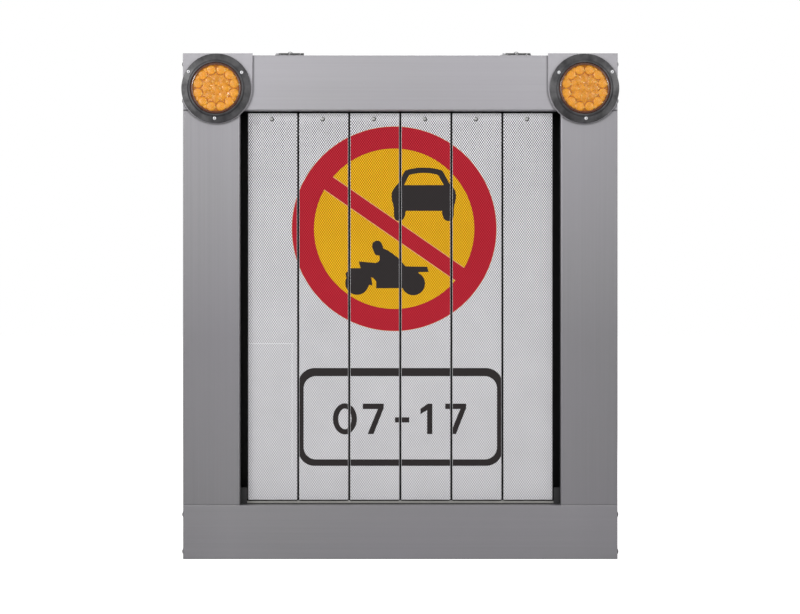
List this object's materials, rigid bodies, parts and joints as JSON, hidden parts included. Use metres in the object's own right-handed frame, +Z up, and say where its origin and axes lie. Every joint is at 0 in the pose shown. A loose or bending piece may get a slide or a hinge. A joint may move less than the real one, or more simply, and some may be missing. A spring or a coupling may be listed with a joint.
{
  "type": "reflective road sign",
  "caption": "Changeable prism road sign: geared three-sided prisms turn together in a cabinet, behind a top-hinged front frame with amber warning lamps.",
  "frame": {"origin": "middle of the footprint, on the plane of the cabinet's bottom face", "axes": "+Z up, the sign faces -Y, +X to the right as seen by its reader"},
  "size_m": [0.85, 0.1926, 0.9913],
  "materials": {
    "grey_paint": "satin metallic grey coat on aluminium sheet",
    "body_paint": "matt grey coat on aluminium sheet",
    "dark_coat": "black coat",
    "bare_aluminium": "extruded, as drawn",
    "steel": "zinc plated",
    "pale_acetal": "moulded",
    "black_nylon": "moulded",
    "lamp_grey": "moulded",
    "amber": "clear amber",
    "board_amber": "moulded optics",
    "motor_steel": "dark plated",
    "seal_rubber": "foam",
    "control_grey": "moulded"
  },
  "bodies": {
    "cabinet": {"drive_bracket": "steel", "drive_gearbox": "motor_steel", "drive_motor": "motor_steel", "lower_bearing_deck": "dark_coat", "upper_bearing_deck": "dark_coat", "lower_bearing_strip": "pale_acetal", "upper_bearing_strip": "pale_acetal", "cabinet_body": "body_paint", "frame_seal": "seal_rubber", "left_hinge_body_leaf": "steel", "right_hinge_body_leaf": "steel", "lower_mounting_rail": "bare_aluminium", "upper_mounting_rail": "bare_aluminium", "control_unit": "control_grey", "cable_gland": "black_nylon"},
    "front_frame": {"bottom_beam": "grey_paint", "top_beam": "grey_paint", "left_post": "grey_paint", "right_post": "grey_paint", "left_lamp_plate": "grey_paint", "left_lamp_housing": "lamp_grey", "left_lamp_led_board": "board_amber", "left_lamp_lens": "amber", "left_hinge_frame_leaf": "steel", "right_lamp_plate": "grey_paint", "right_lamp_housing": "lamp_grey", "right_lamp_led_board": "board_amber", "right_lamp_lens": "amber", "right_hinge_frame_leaf": "steel"},
    "prism_1": {"prism_1_profile": "bare_aluminium", "prism_1_upper_cap": "black_nylon", "prism_1_lower_cap": "black_nylon", "prism_1_gear": "pale_acetal"},
    "prism_2": {"prism_2_profile": "bare_aluminium", "prism_2_upper_cap": "black_nylon", "prism_2_lower_cap": "black_nylon", "prism_2_gear": "pale_acetal"},
    "prism_3": {"prism_3_profile": "bare_aluminium", "prism_3_upper_cap": "black_nylon", "prism_3_lower_cap": "black_nylon", "prism_3_gear": "pale_acetal"},
    "prism_4": {"prism_4_profile": "bare_aluminium", "prism_4_upper_cap": "black_nylon", "prism_4_lower_cap": "black_nylon", "prism_4_gear": "pale_acetal"},
    "prism_5": {"prism_5_profile": "bare_aluminium", "prism_5_upper_cap": "black_nylon", "prism_5_lower_cap": "black_nylon", "prism_5_gear": "pale_acetal"},
    "prism_6": {"prism_6_profile": "bare_aluminium", "prism_6_upper_cap": "black_nylon", "prism_6_lower_cap": "black_nylon", "prism_6_gear": "pale_acetal"},
    "idler_1": {"idler_gear_1": "pale_acetal"},
    "idler_2": {"idler_gear_2": "pale_acetal"},
    "idler_3": {"idler_gear_3": "pale_acetal"},
    "idler_4": {"idler_gear_4": "pale_acetal"},
    "idler_5": {"idler_gear_5": "pale_acetal"},
    "drive_pinion": {"motor_pinion": "steel"}
  },
  "joints": [
    {"name": "frame_hinge", "type": "hinge", "parent": "cabinet", "child": "front_frame", "pos_m": [0, -0.05215, 0.9839], "axis": [-1, 0, 0], "range_deg": [0, 95]},
    {"name": "prism_1_turn", "type": "hinge", "parent": "cabinet", "child": "prism_1", "pos_m": [-0.25, -0.02071, 0], "axis": [0, 0, 1], "continuous": true},
    {"name": "prism_2_turn", "type": "hinge", "parent": "cabinet", "child": "prism_2", "pos_m": [-0.15, -0.02071, 0], "axis": [0, 0, 1], "continuous": true},
    {"name": "prism_3_turn", "type": "hinge", "parent": "cabinet", "child": "prism_3", "pos_m": [-0.05, -0.02071, 0], "axis": [0, 0, 1], "continuous": true},
    {"name": "prism_4_turn", "type": "hinge", "parent": "cabinet", "child": "prism_4", "pos_m": [0.05, -0.02071, 0], "axis": [0, 0, 1], "continuous": true},
    {"name": "prism_5_turn", "type": "hinge", "parent": "cabinet", "child": "prism_5", "pos_m": [0.15, -0.02071, 0], "axis": [0, 0, 1], "continuous": true},
    {"name": "prism_6_turn", "type": "hinge", "parent": "cabinet", "child": "prism_6", "pos_m": [0.25, -0.02071, 0], "axis": [0, 0, 1], "continuous": true},
    {"name": "idler_1_turn", "type": "hinge", "parent": "cabinet", "child": "idler_1", "pos_m": [-0.2, -0.02071, 0], "axis": [0, 0, 1], "continuous": true},
    {"name": "idler_2_turn", "type": "hinge", "parent": "cabinet", "child": "idler_2", "pos_m": [-0.1, -0.02071, 0], "axis": [0, 0, 1], "continuous": true},
    {"name": "idler_3_turn", "type": "hinge", "parent": "cabinet", "child": "idler_3", "pos_m": [0, -0.02071, 0], "axis": [0, 0, 1], "continuous": true},
    {"name": "idler_4_turn", "type": "hinge", "parent": "cabinet", "child": "idler_4", "pos_m": [0.1, -0.02071, 0], "axis": [0, 0, 1], "continuous": true},
    {"name": "idler_5_turn", "type": "hinge", "parent": "cabinet", "child": "idler_5", "pos_m": [0.2, -0.02071, 0], "axis": [0, 0, 1], "continuous": true},
    {"name": "pinion_turn", "type": "hinge", "parent": "cabinet", "child": "drive_pinion", "pos_m": [0.05, 0.02929, 0], "axis": [0, 0, 1], "continuous": true}
  ],
  "couplings": [
    {"joint": "prism_2_turn", "follows": "prism_1_turn", "ratio": 1},
    {"joint": "prism_3_turn", "follows": "prism_1_turn", "ratio": 1},
    {"joint": "prism_4_turn", "follows": "prism_1_turn", "ratio": 1},
    {"joint": "prism_5_turn", "follows": "prism_1_turn", "ratio": 1},
    {"joint": "prism_6_turn", "follows": "prism_1_turn", "ratio": 1},
    {"joint": "idler_1_turn", "follows": "prism_1_turn", "ratio": -1.5},
    {"joint": "idler_2_turn", "follows": "prism_1_turn", "ratio": -1.5},
    {"joint": "idler_3_turn", "follows": "prism_1_turn", "ratio": -1.5},
    {"joint": "idler_4_turn", "follows": "prism_1_turn", "ratio": -1.5},
    {"joint": "idler_5_turn", "follows": "prism_1_turn", "ratio": -1.5},
    {"joint": "pinion_turn", "follows": "prism_1_turn", "ratio": -1.5}
  ]
}
